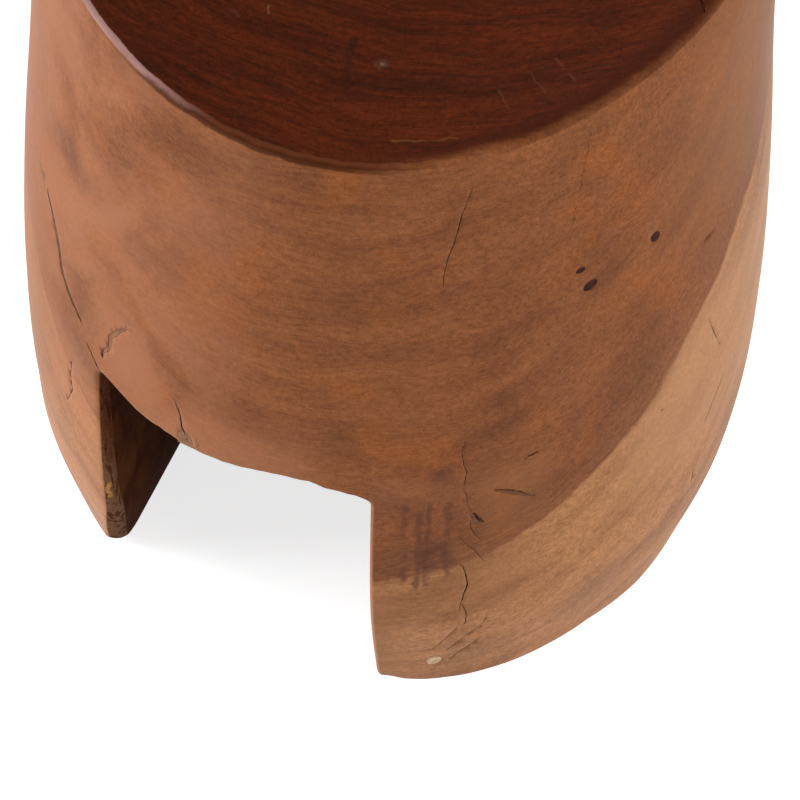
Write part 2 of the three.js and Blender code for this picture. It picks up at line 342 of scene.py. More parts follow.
def columns_to_channel(log, channel, height, regular):
    """Spaces the columns of the topmost ring so that four stand on, or near, the channel's corners."""
    mesh = bmesh.from_edit_mesh(bpy.context.object.data)
    middle = log_middle(log, height)
    ring = [v for v in mesh.verts if v.select]
    radius = (ring[0].co - middle).length
    marks = []
    for column, is_left, side in (
        (math.pi - RIGHT_COLUMN, False, 1), (math.pi + LEFT_COLUMN, True, 1),
        (math.tau - LEFT_COLUMN, True, -1), (math.tau + RIGHT_COLUMN, False, -1),
    ):
        corner = channel_corner(log, channel, radius, height, is_left, side)
        onto = math.atan2(corner.x - middle.x, middle.y - corner.y) % math.tau
        onto += round((column - onto) / math.tau) * math.tau
        marks.append((column, onto + (column - onto) * regular))
    before, after = [mark - math.tau for mark in marks[-1]], [mark + math.tau for mark in marks[0]]
    marks = [before, *marks, after]
    start = math.pi / 2 + math.pi / SIDES
    ring.sort(key=lambda v: (math.atan2(v.co.x - middle.x, middle.y - v.co.y) - start) % math.tau)
    for i, v in enumerate(ring):
        column = start + math.pi / SIDES + math.tau * i / SIDES
        low, high = next(pair for pair in zip(marks, marks[1:]) if column <= pair[1][0] + 1e-6)
        share = (column - low[0]) / (high[0] - low[0])
        turn = low[1] + (high[1] - low[1]) * share
        v.co = middle + outwards(turn, radius)
    bmesh.update_edit_mesh(bpy.context.object.data)


def build_log(log, seat, channel):
    """A disc is raised ring by ring into the barrel, then turned in over the rim and down into the dish."""
    spread = 3 / (2 + math.cos(math.tau / SIDES))  # subdivision draws a ring of this many sides in again
    select_none()
    radius, place = (wall_radius(log, 0) - log.sole_ease) * spread, log_middle(log, 0)
    bpy.ops.mesh.primitive_circle_add(vertices=SIDES, radius=radius, fill_type="NGON", location=place)
    body = new_piece("carved_body")
    bpy.ops.object.transform_apply(location=True, rotation=False, scale=False)
    mode("EDIT")
    bpy.ops.mesh.select_all(action="SELECT")
    columns_to_channel(log, channel, 0, 0)
    last = (radius, 0)
    lip = log.rim_height - seat.lip_round
    for level in [*(level * MM for level in WALL_LEVELS), lip]:
        last = raise_ring(log, wall_radius(log, level) * spread, level, last)
        columns_to_channel(log, channel, level, ease(level, channel.height, channel.height + EVEN_AGAIN))
    top = wall_radius(log, lip) * spread
    turn = seat.lip_round * 0.3
    for inward, down in ((turn, turn), (seat.lip_round, 0.4 * MM), (seat.lip_flat * 0.75, 0.5 * MM)):
        last = raise_ring(log, top - inward, log.rim_height - down, last)
    dish = top - seat.lip_flat
    for share in DISH_SHARES:
        height = log.rim_height - seat.depth * (1 - share ** 2) - 0.8 * MM
        last = raise_ring(log, dish * share, height, last)
    bpy.ops.mesh.delete(type="ONLY_FACE")
    pick("EDGE", lambda e: e.is_boundary)
    bpy.ops.mesh.fill_grid(span=SIDES // 4, offset=0)
    mode("OBJECT")
    return body


def press_saddle(body, log, seat, channel):
    """A lattice round the upper part presses in the saddle and tilt of the seat."""
    cells = 14
    width = 520 * MM
    margin = 25 * MM
    low, high = channel.height - margin, log.rim_height + margin
    select_none()
    bpy.ops.object.add(type="LATTICE", location=(0, 0, (low + high) / 2))
    lattice = bpy.context.object
    lattice.scale = (width, width, high - low)
    grid = lattice.data
    grid.points_u = grid.points_v = grid.points_w = cells
    grid.interpolation_type_u = grid.interpolation_type_v = grid.interpolation_type_w = "KEY_CATMULL_ROM"
    bpy.context.view_layer.update()
    into, back = lattice.matrix_world, lattice.matrix_world.inverted()
    for point in grid.points:
        place = into @ point.co
        offset, azimuth = from_middle(log, place)
        share = offset.length / wall_radius(log, place.z)
        follow = ease(place.z, channel.height, log.rim_height - seat.depth)
        height = place.z + follow * rim_step(seat, azimuth, share)
        shaped = log_middle(log, height) + outwards(azimuth, share * wall_radius(log, height))
        point.co_deform = back @ shaped
    apply(body, "LATTICE", object=lattice)
    bpy.data.objects.remove(lattice)


def cut_channel(body, log, channel):
    """The faces between the two wall planes go, and the walls, ceiling and soles are bridged and filled."""
    near = 0.05 * MM
    top = channel.height
    middle = (channel.left + channel.right) / 2 + log.middle_x
    half = (channel.right - channel.left) / 2
    edit(body)
    pick("FACE", lambda f: middle_of(f).z < top - near and inside_channel(log, channel, middle_of(f)))
    bpy.ops.mesh.delete(type="FACE")
    for side in (-1, 1):
        pick("EDGE", lambda e: e.is_boundary and (middle_of(e).x - middle) * side > half / 2
             and abs(e.verts[0].co.z - e.verts[1].co.z) > MM)
        bpy.ops.mesh.bridge_edge_loops(number_cuts=ROWS, interpolation="LINEAR")
    pick("EDGE", lambda e: e.is_boundary and all(abs(v.co.z - top) < near for v in e.verts)
         and abs(e.verts[0].co.x - e.verts[1].co.x) > MM)
    bpy.ops.mesh.bridge_edge_loops(number_cuts=ROWS, interpolation="LINEAR")
    weld(near)
    hew_flat(log, channel, middle)
    for side in (-1, 1):
        pick("EDGE", lambda e: e.is_boundary and (middle_of(e).x - middle) * side > 0)
        bpy.ops.mesh.edge_face_add()
    bpy.ops.mesh.select_all(action="SELECT")
    bpy.ops.mesh.normals_make_consistent(inside=False)
    mode("OBJECT")
    wear_channel_edges(body, log, channel)


def inside_channel(log, channel, place):
    return left_wall(log, channel, place.y, place.z) < place.x < channel.right + log.middle_x


def hew_flat(log, channel, middle):
    """Draws the left wall out onto the flat near its front."""
    mesh = bmesh.from_edit_mesh(bpy.context.object.data)
    straight = channel.left + log.middle_x
    for v in mesh.verts:
        if all(abs(f.normal.x) > 0.9 for f in v.link_faces) and straight - 20 * MM < v.co.x < middle:
            v.co.x = left_wall(log, channel, v.co.y, v.co.z)
    bmesh.update_edit_mesh(bpy.context.object.data)


# Angles over which an edge gets worn, gets a crease after that, or is a corner of the ceiling
WORN_ANGLE, CREASE_ANGLE, CORNER_ANGLE = math.radians(30), math.radians(24), math.radians(60)


def wear_channel_edges(body, log, channel):
    """Bevels the run of edges round the channel, with a wider chamfer down the front of the left foot."""
    near = 0.3 * MM
    top = channel.height
    right = channel.right + log.middle_x
    widest = channel.chamfer_foot
    weights = body.data.attributes.new("bevel_weight_edge", "FLOAT", "EDGE")
    mesh = bmesh.new()
    mesh.from_mesh(body.data)
    for edge in mesh.edges:
        a, b = (v.co for v in edge.verts)
        if len(edge.link_faces) != 2 or not near < max(a.z, b.z) < top + near:
            continue
        if edge.calc_face_angle() < WORN_ANGLE:
            continue
        on_left = all(abs(p.x - left_wall(log, channel, p.y, p.z)) < near for p in (a, b))
        on_right = all(abs(p.x - right) < near for p in (a, b))
        on_ceiling = min(a.z, b.z) > top - near
        if (on_left or on_right) == on_ceiling:
            continue
        width = channel.edge_wear
        if on_left and max(a.y, b.y) < 0 and abs(a.z - b.z) > MM:
            share = (a.z + b.z) / 2 / top
            width = channel.chamfer_foot + (channel.chamfer_top - channel.chamfer_foot) * share
        weights.data[edge.index].value = width / widest
    mesh.free()
    apply(body, "BEVEL", width=widest, segments=3, profile=0.35, limit_method="WEIGHT", offset_type="OFFSET",
          use_clamp_overlap=False)
    edit(body)
    pick("EDGE", lambda e: len(e.link_faces) == 2 and e.calc_face_angle() > CREASE_ANGLE
         and middle_of(e).z < top + near)
    bpy.ops.transform.edge_crease(value=0.45)
    pick("EDGE", lambda e: all(abs(v.co.z - top) < 3.5 * MM for v in e.verts)
         and abs(e.verts[0].co.y - e.verts[1].co.y) > 4 * MM and e.calc_face_angle() > CORNER_ANGLE)
    bpy.ops.transform.edge_crease(value=1)
    pick("FACE", lambda f: len(f.verts) > 8 and abs(f.normal.z) > 0.99)
    bpy.ops.mesh.inset(thickness=2 * MM, use_individual=True)
    mode("OBJECT")


# How far the front edge of the channel's ceiling stands over its height, at places along x, in millimetres
ARCH_RISE = (
    (-125, 14), (-114, 11.5), (-104, 5), (-92, 0.5), (-74, -0.5), (-62, -3.8), (-50, -2.6), (-38, -2.6),
    (-22, 0.8), (-9, 2.4), (5, 0), (18, -4.5), (34, -8),
)
# How far the foot of the wall stands out of the barrel, at azimuths in degrees, in millimetres
FOOT_SWELL = (
    (-130, 0), (-95, 3), (-80, 4.4), (-66, 4.6), (-55, 2), (-46, 0), (14, 0), (20, 2), (27, 2.6), (35, 2),
    (43, 0.6), (52, -0.6), (64, 1.4), (80, 1.6), (100, 0),
)
# Worn toes: how far each lifts off the floor in millimetres, then the steps along x, y and z that limit it
TOE_WEAR = (
    (6.5, ("z", 0.012, 0), ("y", -0.105, -0.135), ("x", -0.085, -0.10)),
    (3.0, ("z", 0.012, 0), ("y", -0.160, -0.176), ("x", 0.02, 0.03), ("x", 0.052, 0.036)),
)


def between_rows(table, place):
    """Value at a place, on straight lines between the rows of a table."""
    if place <= table[0][0]:
        return table[0][1]
    for (low, a), (high, b) in zip(table, table[1:]):
        if place < high:
            return a + (b - a) * (place - low) / (high - low)
    return table[-1][1]


def arch_rise(x):
    return between_rows(ARCH_RISE, x / MM) * MM


def foot_swell(log, place):
    """Step outwards from a point of the barrel to the log's broader foot."""
    offset, azimuth = from_middle(log, place)
    swell = between_rows(FOOT_SWELL, math.degrees(azimuth)) * MM * ease(place.z, 0.105, 0.045)
    return Vector((*(offset.xy.normalized() * swell), 0))


def shape_arch(body, channel):
    """Lifts the left end of the channel's front edge and lets its right end down, as it was hewn."""
    for v in body.data.vertices:
        near = 1 - ease(abs(v.co.z - channel.height), 0, 45 * MM)
        v.co.z += arch_rise(v.co.x) * near * ease(v.co.y, -70 * MM, -140 * MM)


def fray(body, log, channel):
    """Roughens the front edge of the ceiling, swells the foot of the wall and wears the toes."""
    reach = 7 * MM  # from the edge, up and down and into the wood
    for v in body.data.vertices:
        depth = wall_radius(log, v.co.z) - from_middle(log, v.co)[0].xy.length
        edge = channel.height + arch_rise(v.co.x)
        if v.co.y < -0.1 and abs(v.co.z - edge) < reach and depth < reach:
            near = 1 - max(abs(v.co.z - edge), depth * 0.8) / reach
            inside = ease(v.co.x, -0.112, -0.100) * ease(v.co.x, 0.030, 0.024)
            rough = noise.noise(v.co / (5 * MM)) * 1.1 + max(0, noise.noise(v.co / (9 * MM)) - 0.15) * 4.5
            v.co.z += rough * MM * near * inside
        if abs(depth) < 2 * MM:
            v.co += foot_swell(log, v.co)
        place = v.co.copy()
        for lift, *steps in TOE_WEAR:
            v.co.z += lift * MM * math.prod(ease(getattr(place, axis), *limits) for axis, *limits in steps)
        v.co.z = min(v.co.z, CAD_BOX[1][2] - 0.05 * MM)


# The azimuths between which the wear of the rim sets in, and between which it ends
WORN_FROM = math.radians(14), math.radians(40)
WORN_TO = math.radians(170), math.radians(150)


def soften_rim(body, log, seat):
    """Rubs the right and back of the rim round, where hands and clothes wore it."""
    worn = body.vertex_groups.new(name="worn_rim")
    for v in body.data.vertices:
        offset, azimuth = from_middle(log, v.co)
        top = log.rim_height + rim_step(seat, azimuth)
        near = ease(v.co.z, top - 16 * MM, top - 8 * MM)
        away = ease(azimuth, *WORN_FROM) * ease(azimuth, *WORN_TO)
        if near * away > 0 and offset.xy.length > 0.9 * wall_radius(log, v.co.z):
            worn.add([v.index], near * away, "REPLACE")
    apply(body, "SMOOTH", factor=0.5, iterations=14, vertex_group="worn_rim")
    body.vertex_groups.clear()


def measure_wear(body, log, seat, channel):
    """Writes on each vertex how far it lies inside the rim, and how far inside the barrel."""
    rim = body.data.attributes.new("rim_distance", "FLOAT", "POINT")
    shell = body.data.attributes.new("shell_depth", "FLOAT", "POINT")
    for v in body.data.vertices:
        offset, azimuth = from_middle(log, v.co)
        top = log.rim_height + rim_step(seat, azimuth)
        on_seat = v.normal.z > 0.3 and v.co.z > channel.height + 60 * MM
        inward = wall_radius(log, top) - (v.co - log_middle(log, top)).xy.length
        rim.data[v.index].value = inward if on_seat else v.co.z - top
        shell.data[v.index].value = wall_radius(log, v.co.z) - offset.xy.length


class STOOL_OT_carve_body(bpy.types.Operator):
    """Carves the log, its dished seat, the channel between its two feet, and the checks in the wood"""

    bl_idname = "stool.carve_body"
    bl_label = "Carve body"

    def execute(self, context):
        log, seat, channel = context.scene.stool_log, context.scene.stool_seat, context.scene.stool_channel
        colours = context.scene.stool_colours
        body = build_log(log, seat, channel)
        press_saddle(body, log, seat, channel)
        soften_rim(body, log, seat)
        cut_channel(body, log, channel)
        shape_arch(body, channel)
        apply(body, "SUBSURF", levels=2, render_levels=2)
        fray(body, log, channel)
        body.data.materials.append(carved_wood(colours, log, channel))
        body.data.materials.append(shaded_channel_wood(colours))
        for face in body.data.polygons:
            face.material_index = int(on_channel_face(face, log, channel))
        open_checks(body, log, crack_shade_finish(colours), pocket_seam(colours))
        measure_wear(body, log, seat, channel)
        only(body)
        bpy.ops.object.shade_smooth_by_angle(angle=math.radians(40))
        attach(body, "root")
        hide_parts("stool_body")
        return {"FINISHED"}


def on_channel_face(face, log, channel):
    """True on the walls and the ceiling of the channel, inside its worn edges."""
    place = face.center
    left, right = channel.left + log.middle_x, channel.right + log.middle_x
    if not 0.1 * MM < place.z < channel.height + 12 * MM:
        return False
    if abs(face.normal.x) > 0.9:
        return left - 45 * MM < place.x < right + MM
    return face.normal.z < -0.9 and left - MM < place.x < right + MM


# Open checks: the widest half width in millimetres, then the points on the wall, by azimuth in degrees and by
# height in millimetres
WALL_CHECKS = (
    (0.26, (22.39, 395.1), (20.97, 377.9), (20.11, 362.7), (19.07, 349.3), (18.59, 338.1), (18.79, 331.7)),
    (0.62, (-39.2, 217.5), (-38.2, 213.6), (-37.2, 210.4), (-36.2, 206.5), (-35.0, 202)),
    (0.22, (-43.6, 190), (-44.46, 175), (-44.07, 164.3), (-46.1, 148.9)),
    (0.42, (-21.14, 222.7), (-20.04, 214), (-19.68, 205), (-18.8, 197), (-18.2, 191)),
    (0.20, (22.9, 232.5), (22.25, 221.3), (22.6, 211.6), (23.1, 206), (22.9, 198), (22.8, 193)),
    (0.15, (22.8, 193), (23.2, 186.9), (23.4, 179.9), (24.2, 173.2)),
    (0.17, (24.1, 168), (24.0, 163), (24.85, 154.9), (26.1, 148.7)),
    (0.22, (22.4, 155.9), (23.6, 148.7), (25.0, 142), (26.5, 130.7)),
    (0.44, (22.1, 136.6), (23.4, 129), (24.1, 118), (24.3, 112), (23.8, 104), (23.5, 94), (23.4, 87)),
    (0.30, (23.5, 96), (24.6, 84.3), (24.6, 75), (24.0, 69)),
    (0.16, (23.65, 72.7), (21.74, 58.7), (19.93, 46.4), (17.1, 42.9)),
    (0.14, (28.1, 81.6), (27.2, 67.8), (24.6, 58.6), (22.1, 42.4)),
    (0.12, (28.0, 56.8), (24.7, 41), (22.9, 28.6)),
    (0.22, (73.2, 175), (72.7, 171.2), (70.1, 159.8), (67.6, 147.4)),
    (0.26, (66.9, 110.2), (67.7, 93.2)),
    (0.20, (67.5, 296.2), (64.8, 296), (62.8, 295.2)),
    (0.20, (65.8, 235.7), (67.8, 219.2), (70.1, 202.1)),
    (0.55, (103, 421), (101.5, 400), (102.4, 372), (100.2, 341), (100.9, 322)),
    (0.35, (148, 255), (149.6, 232), (147.9, 214), (148.6, 196)),
    (0.40, (-151, 418), (-149.8, 392), (-150.9, 371), (-150.1, 350)),
    (0.50, (-104, 120), (-102.6, 96), (-103.8, 71), (-102.9, 44), (-103.5, 22)),
    (0.30, (-128, 268), (-126.8, 249), (-127.7, 230)),
    (0.30, (176, 222), (175.1, 208), (175.6, 197)),
)
# The same for the seat, with x and y in millimetres
SEAT_CHECKS = (
    (0.34, (154, -63), (156.4, -68.1), (159.8, -75.1), (163, -80)),
    (0.30, (-96, 62), (-99, 81), (-97, 104), (-101, 122)),
)
OVER_SEAT = 450 * MM


def open_checks(body, log, finish, seam):
    """Cuts the open checks, and the pockets of the plugs, patches and fillings."""
    draw = random.Random(11)
    tables = (WALL_CHECKS, on_wall(log)), (SEAT_CHECKS, on_level(OVER_SEAT))
    cutters = [thread(body, widest, [to_point(*point) for point in points], draw)
               for table, to_point in tables for widest, *points in table]
    cutters += [pocket(frame["nodes"][name], log) for name in TRIM]
    select_none()
    for cutter in cutters:
        cutter.select_set(True)
        cutter.data.materials.clear()
        cutter.data.materials.append(seam if cutter.name.startswith("pocket") else finish)
    bpy.context.view_layer.objects.active = cutters[0]
    bpy.ops.object.join()
    cutter = bpy.context.object
    apply(body, "BOOLEAN", object=cutter, operation="DIFFERENCE", solver="MANIFOLD", material_mode="TRANSFER")
    bpy.data.objects.remove(cutter)
    drop_crumbs(body)


def drop_crumbs(body):
    """Deletes the loose crumbs of wood between crossing checks."""
    edit(body)
    pick("VERT", lambda v: v.index == 0)
    bpy.ops.mesh.select_linked()
    bpy.ops.mesh.select_all(action="INVERT")
    bpy.ops.mesh.delete(type="VERT")
    mode("OBJECT")


def thread(body, widest, points, draw):
    """A thin ragged tube that runs along the surface through these points, fine at both ends."""
    step = 3 * MM
    reach = min(0.32, 0.55 * widest)
    places = []
    for a, b in zip(points, points[1:]):
        count = max(1, round((b - a).length / step))
        places += [a.lerp(b, i / count) for i in range(count)]
    places.append(points[-1])
    select_none()
    bpy.ops.curve.primitive_nurbs_path_add()
    curve = bpy.context.object.data
    curve.splines.clear()
    spline = curve.splines.new("POLY")
    spline.points.add(len(places) - 1)
    for i, place in enumerate(places):
        surface = body.closest_point_on_mesh(place)[1]
        wander = Vector([draw.uniform(-1, 1) * reach * MM for _ in range(3)])
        share = i / (len(places) - 1)
        spline.points[i].co = (*(surface + wander), 1)
        spline.points[i].radius = (0.25 + 0.75 * math.sin(math.pi * share) ** 0.6) * draw.uniform(0.7, 1.15)
    curve.bevel_depth = widest * MM
    curve.bevel_resolution = 1
    curve.use_fill_caps = True
    bpy.ops.object.convert(target="MESH")
    cutter = bpy.context.object
    mode("EDIT")
    weld(0.005 * MM)
    bpy.ops.mesh.normals_make_consistent(inside=False)
    mode("OBJECT")
    return cutter


# How far the pockets are grown, stand out through the wall, and reach down under the patch on the arch
POCKET_GROWTH, POCKET_RISE, POCKET_DROP = 0.12 * MM, 0.6 * MM, 0.4 * MM


def loose_copy(node, prefix, log, growth=0):
    """A joined up copy of an inset piece. The patch in the foot goes out with the wood around it."""
    only(node)
    bpy.ops.object.duplicate()
    piece = new_piece(prefix + node.name)
    for key in list(piece.keys()):
        del piece[key]
    piece.parent = None
    mode("EDIT")
    weld(0.01 * MM)
    if growth:
        bpy.ops.transform.shrink_fatten(value=growth)
    mode("OBJECT")
    if node.name == "patch_right_foot":
        for v in piece.data.vertices:
            v.co += foot_swell(log, v.co)
    return piece


def pocket(node, log):
    """Cutter of the room for an inset piece: the piece grown a little, and drawn out through the wall."""
    cutter = loose_copy(node, "pocket_", log, POCKET_GROWTH)
    middle = sum((v.co for v in cutter.data.vertices), Vector()) / len(cutter.data.vertices)
    outward = Vector((middle.x, middle.y, 0)).normalized()
    for v in cutter.data.vertices:
        if (v.co - middle).dot(outward) > 0:
            v.co += outward * POCKET_RISE
        if node.name == "patch_arch_edge" and v.co.z < middle.z:
            v.co.z -= POCKET_DROP
    return cutter


class STOOL_OT_finish_trim(bpy.types.Operator):
    """Gives the plugs, patches and fillings their wood and putty"""

    bl_idname = "stool.finish_trim"
    bl_label = "Finish plugs and fillings"

    def execute(self, context):
        log, colours = context.scene.stool_log, context.scene.stool_colours
        raise_patch(log)
        for name in TRIM:
            finish = inset_finish(name, colours, log)
            piece = bpy.data.objects.get("raised_" + name, frame["nodes"][name])
            piece.data.materials.clear()
            piece.data.materials.append(finish)
        return {"FINISHED"}


def raise_patch(log):
    """Shows the patch in the right foot by a copy, as the wall's broader foot would bury the CAD piece."""
    patch = loose_copy(frame["nodes"]["patch_right_foot"], "raised_", log)
    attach(patch, "root")
    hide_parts("patch_right_foot")


class Graph:
    """A node tree, with short ways to add and join its nodes."""

    def __init__(self, tree):
        self.nodes, self.links = tree.nodes, tree.links

    def add(self, kind, *inputs, **settings):
        """Adds a node and returns its outputs. Inputs follow the node's own order, and None skips one."""
        node = self.nodes.new("ShaderNode" + kind)
        for key, value in settings.items():
            setattr(node, key, value)
        for socket, value in zip(node.inputs, inputs):
            if isinstance(value, bpy.types.NodeSocket):
                self.links.new(value, socket)
            elif value is not None:
                socket.default_value = value
        return node.outputs

    def math(self, operation, *values):
        return self.add("Math", *values, operation=operation)[0]

    def vector(self, operation, *values, output="Vector"):
        return self.add("VectorMath", *values, operation=operation)[output]


class Finish(Graph):
    """Nodes of one material. Its fields are named values that the steps of a layer go by."""

    def __init__(self, name, roughness, gloss, colours=None):
        self.material = bpy.data.materials.new(name)
        self.material.use_nodes = True
        super().__init__(self.material.node_tree)
        self.shader = self.nodes["Principled BSDF"]
        self.shader.inputs["Roughness"].default_value = roughness
        self.shader.inputs["Specular IOR Level"].default_value = gloss
        self.colours = colours
        self.place = self.add("TexCoord")["Object"]
        self.fields = dict(zip("xyz", self.add("SeparateXYZ", self.place)))

    def both(self, first, *others):
        """Product of several shares."""
        for other in others:
            first = self.math("MULTIPLY", first, other)
        return first

    def total(self, *terms, base=0.0):
        """Sum of several values, each times its weight."""
        for value, weight in terms:
            base = self.math("MULTIPLY_ADD", value, weight, base)
        return base

    def shaken(self, value, wave, reach):
        """A value moved up and down by a noise."""
        return self.total((self.math("SUBTRACT", wave, 0.5), reach), base=value)

    def rise(self, value, low, high):
        """Smooth step from 0 at low to 1 at high, or falling where high is under low."""
        return self.add("MapRange", value, low, high, interpolation_type="SMOOTHSTEP")[0]

    def between(self, value, low, high, soft):
        return self.both(self.rise(value, low - soft, low + soft), self.rise(value, high + soft, high - soft))

    def step(self, name, *limits):
        """Share by one field: a rise over two limits, or a band between them where a third gives its edge."""
        return (self.between if len(limits) == 3 else self.rise)(self.fields[name], *limits)

    def blend(self, share, a, b, how="MIX"):
        a, b = (c if isinstance(c, bpy.types.NodeSocket) else (*c[:3], 1) for c in (a, b))
        return self.add("Mix", share, None, None, None, None, None, a, b, data_type="RGBA", blend_type=how)[2]

    def layers(self, base, table):
        """Lays colours over one another: a row gives a colour, its strength and the steps that limit it."""
        for name, strength, *steps in table:
            share = self.both(*(self.step(*limits) for limits in steps), strength)
            base = self.blend(share, base, getattr(self.colours, name))
        return base

    def noise(self, size, detail=3.0, distortion=0.0, place=None, output=0):
        """Noise from 0 to 1 with features of this size, in metres."""
        place = place or self.place
        return self.add("TexNoise", place, None, 1 / size, detail, 0.5, None, None, None, distortion)[output]

    def drift(self, size, reach):
        """The place in the wood, moved about by a slow noise."""
        offset = self.vector("SUBTRACT", self.noise(size, 2, output=1), (0.5, 0.5, 0.5))
        return self.vector("ADD", self.place, self.vector("SCALE", offset, None, None, reach))

    def in_grain(self, scale):
        """The warped place, turned to run along the grain, beside it, and across the growth layers."""
        turn = (GRAIN_TILT, 0, 0)
        return self.add("Mapping", self.warped, GRAIN_PLACE, turn, scale, vector_type="TEXTURE")[0]

    def fibres(self, along, beside, across, detail=3.0, distortion=0.0):
        """Noise drawn out along the grain: its sizes along it, beside it, and across the growth layers."""
        return self.noise(1, detail, distortion, self.in_grain((along, beside, across)))

    def grain(self, colour, low, high):
        """Varies a colour between two shades with the short fibres and the nap of the wood."""
        nap = self.math("ADD", self.noise(0.0011, 2), self.noise(0.0032, 3, 0.4))
        nap = self.math("ADD", nap, self.fibres(0.016, 0.0022, 0.0012, 2))
        return self.blend(1.0, colour, self.add("MapRange", nap, 1.1, 1.9, low, high)[0], "MULTIPLY")

    def along(self, points, place):
        """Distance in metres from a line through these points."""
        nearest = 1.0
        for a, b in zip(points, points[1:]):
            step = b - a
            offset = self.vector("SUBTRACT", place, a)
            share = self.vector("DOT_PRODUCT", offset, step / step.length_squared, output="Value")
            reached = self.vector("SCALE", step, None, None, self.add("Clamp", share)[0])
            nearest = self.math("MINIMUM", nearest, self.vector("DISTANCE", offset, reached, output="Value"))
        return nearest

    def marks(self, colour, table, to_point, flat=(1, 1, 1)):
        """Draws the thin marks of a table over a colour."""
        place = self.vector("MULTIPLY", self.drift(0.004, 0.004), flat)
        worn = self.rise(self.noise(0.005), 0.25, 0.5)
        for width, strength, name, *points in table:
            line = self.along([to_point(*point) for point in points], place)
            share = self.both(self.rise(line, width * MM, width * MM * 0.3), strength, worn)
            colour = self.blend(share, colour, getattr(self.colours, name))
        return colour

    def attribute(self, name):
        return self.add("Attribute", attribute_name=name)["Fac"]

    def finish(self, colour, roughness=None, height=None):
        """Joins the colour, the roughness and the height in metres to the shader."""
        self.links.new(colour, self.shader.inputs["Base Color"])
        if roughness is not None:
            self.links.new(roughness, self.shader.inputs["Roughness"])
        if height is not None:
            bump = self.nodes.new("ShaderNodeBump")
            bump.inputs["Strength"].default_value = 1
            bump.inputs["Distance"].default_value = 1
            self.links.new(height, bump.inputs["Height"])
            self.links.new(bump.outputs[0], self.shader.inputs["Normal"])
        return self.material


TRIM = {
    "plug_round": ((0.085, 0.024, 0.014), (0.035, 0.011, 0.008), 0.6),
    "plug_oval": ((0.075, 0.024, 0.015), (0.035, 0.013, 0.009), 0.6),
    "plug_small": ((0.085, 0.026, 0.014), (0.045, 0.016, 0.011), 0.65),
    "patch_arch_edge": ((0.42, 0.205, 0.118), (0.32, 0.16, 0.095), 0.8),
    "patch_right_foot": ((0.86, 0.64, 0.42), (0.66, 0.42, 0.25), 0.8),
    "fill_corner_check": ((0.42, 0.19, 0.105), (0.33, 0.15, 0.085), 0.8),
    "fill_left_check": ((0.22, 0.125, 0.08), (0.12, 0.07, 0.05), 0.7),
    "fill_right_check": ((0.24, 0.105, 0.055), (0.17, 0.075, 0.042), 0.7),
    "fill_right_slit": ((0.26, 0.105, 0.052), (0.19, 0.078, 0.042), 0.85),
}


def inset_finish(name, colours, log):
    """Mottled wood or putty of one inset piece, by its light colour, its dark colour and its roughness."""
    light, dark, roughness = TRIM[name]
    f = Finish(name + "_finish", roughness, 0.06, colours)
    mottle, grit = f.noise(0.0035, 4, 0.6), f.noise(0.0009, 2)
    colour = f.blend(f.rise(mottle, 0.35, 0.65), dark, light)
    colour = f.blend(f.both(f.rise(grit, 0.58, 0.72), 0.6), colour, dark)
    if name.startswith("fill"):
        colour = f.marks(colour, WALL_MARKS, on_wall(log))
    return f.finish(colour, None, f.total((mottle, 0.4 * MM), (grit, 0.1 * MM)))


def crack_shade_finish(colours):
    """Near black painted shade inside the cracks, with a little of the shaded wood colour showing."""
    f = Finish("crack_shade_finish", roughness=0.9, gloss=0.05)
    return f.finish(f.blend(f.rise(f.noise(0.002), 0.45, 0.75), colours.check, colours.shaded_wood))


def pocket_seam(colours):
    """Brown sides of the pockets, seen as a fine seam round each inset piece."""
    f = Finish("pocket_seam", roughness=0.9, gloss=0.02)
    return f.finish(f.blend(f.noise(0.004), colours.heart_edge, colours.seat_dark))


def shaded_channel_wood(colours):
    """Dark unpolished wood inside the channel, its colour painted dark as the shade deep in the channel, with
    more painted shade towards the floor.
    """
    f = Finish("shaded_channel_wood", 0.85, 0.02, colours)
    f.warped = f.drift(0.06, 0.02)
    mottle, streaks = f.noise(0.03, 4, 0.8), f.fibres(0.05, 0.008, 0.004)
    f.fields |= {"mottle": mottle, "streaks": streaks}
    return f.finish(f.layers(colours.shaded_wood, CHANNEL_LAYERS), None, f.total((streaks, 0.5 * MM), (mottle, MM)))
